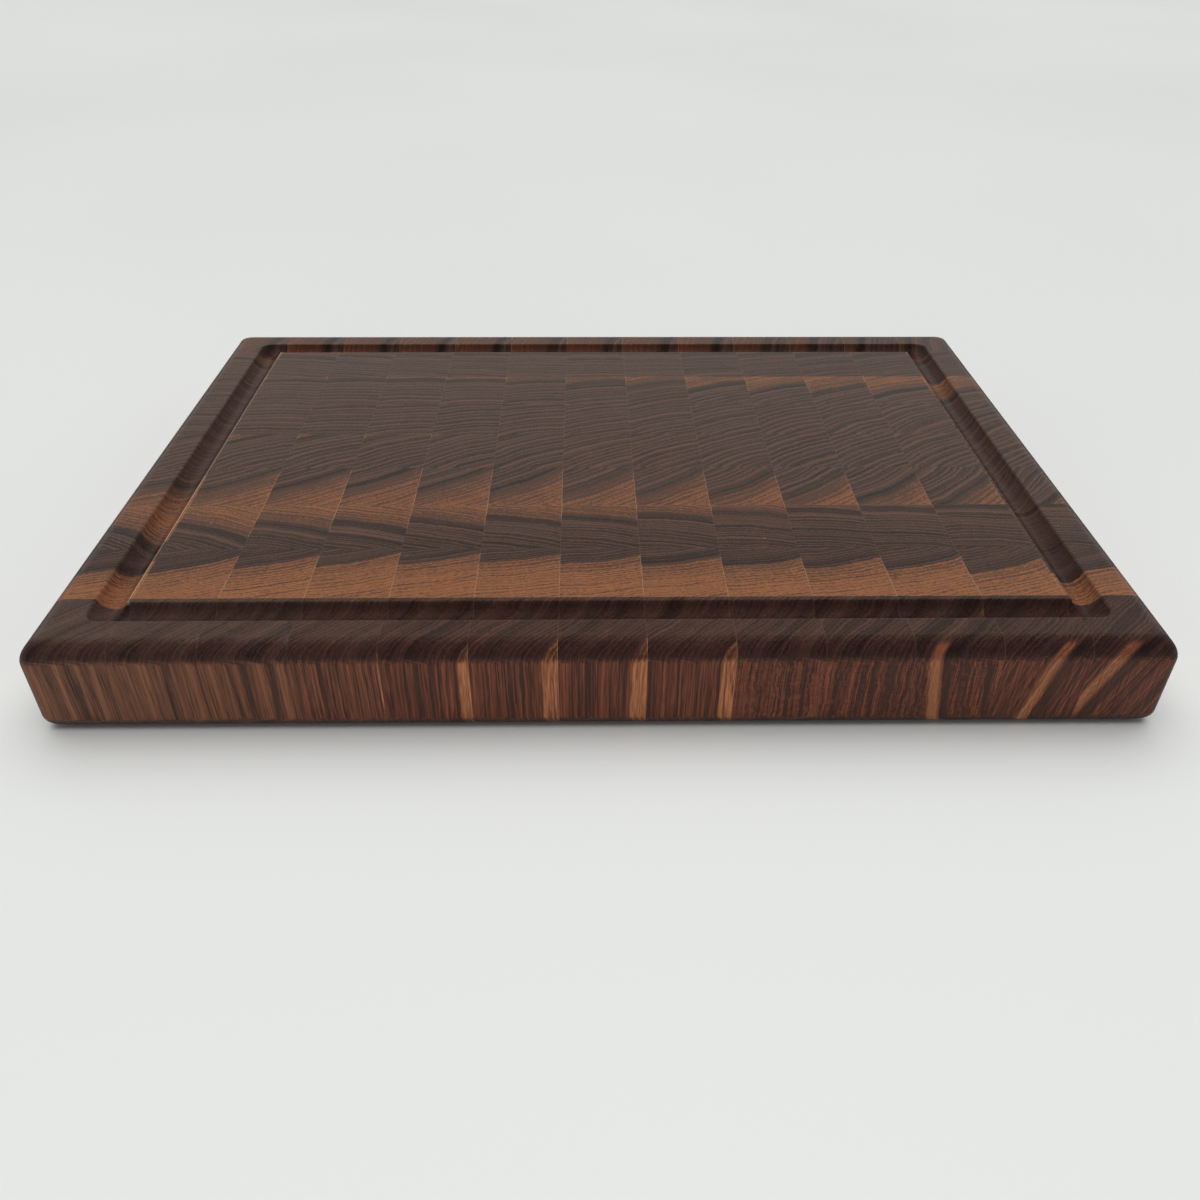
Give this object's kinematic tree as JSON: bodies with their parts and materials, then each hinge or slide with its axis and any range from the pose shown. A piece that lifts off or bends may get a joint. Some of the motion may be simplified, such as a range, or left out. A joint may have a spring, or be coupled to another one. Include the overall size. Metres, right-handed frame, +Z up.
{
  "type": "end-grain cutting board",
  "caption": "Thick rectangular end-grain wooden cutting board built up from upright blocks, with rounded edges and a round-bottomed juice groove just inside the rim.",
  "frame": {"origin": "centre of the flat underside, on the surface the board lies on", "axes": "+X along the long side (width), +Y towards the back, +Z up out of the cutting surface"},
  "size_m": [0.4318, 0.3302, 0.0381],
  "materials": {
    "oiled_walnut": "satin oil finish on dark end-grain hardwood"
  },
  "bodies": {
    "root": {"front_left_corner_block": "oiled_walnut", "front_right_corner_block": "oiled_walnut", "back_left_corner_block": "oiled_walnut", "back_right_corner_block": "oiled_walnut", "front_edge_block_strip_02": "oiled_walnut", "back_edge_block_strip_02": "oiled_walnut", "front_edge_block_strip_03": "oiled_walnut", "back_edge_block_strip_03": "oiled_walnut", "front_edge_block_strip_04": "oiled_walnut", "back_edge_block_strip_04": "oiled_walnut", "front_edge_block_strip_05": "oiled_walnut", "back_edge_block_strip_05": "oiled_walnut", "front_edge_block_strip_06": "oiled_walnut", "back_edge_block_strip_06": "oiled_walnut", "front_edge_block_strip_07": "oiled_walnut", "back_edge_block_strip_07": "oiled_walnut", "front_edge_block_strip_08": "oiled_walnut", "back_edge_block_strip_08": "oiled_walnut", "front_edge_block_strip_09": "oiled_walnut", "back_edge_block_strip_09": "oiled_walnut", "front_edge_block_strip_10": "oiled_walnut", "back_edge_block_strip_10": "oiled_walnut", "front_edge_block_strip_11": "oiled_walnut", "back_edge_block_strip_11": "oiled_walnut", "front_edge_block_strip_12": "oiled_walnut", "back_edge_block_strip_12": "oiled_walnut", "left_edge_block_row_2": "oiled_walnut", "right_edge_block_row_2": "oiled_walnut", "left_edge_block_row_3": "oiled_walnut", "right_edge_block_row_3": "oiled_walnut", "left_edge_block_row_4": "oiled_walnut", "right_edge_block_row_4": "oiled_walnut", "left_edge_block_row_5": "oiled_walnut", "right_edge_block_row_5": "oiled_walnut", "left_edge_block_row_6": "oiled_walnut", "right_edge_block_row_6": "oiled_walnut", "left_edge_block_row_7": "oiled_walnut", "right_edge_block_row_7": "oiled_walnut", "left_edge_block_row_8": "oiled_walnut", "right_edge_block_row_8": "oiled_walnut", "inner_blocks_strip_02": "oiled_walnut", "inner_blocks_strip_03": "oiled_walnut", "inner_blocks_strip_04": "oiled_walnut", "inner_blocks_strip_05": "oiled_walnut", "inner_blocks_strip_06": "oiled_walnut", "inner_blocks_strip_07": "oiled_walnut", "inner_blocks_strip_08": "oiled_walnut", "inner_blocks_strip_09": "oiled_walnut", "inner_blocks_strip_10": "oiled_walnut", "inner_blocks_strip_11": "oiled_walnut", "inner_blocks_strip_12": "oiled_walnut"}
  },
  "joints": []
}
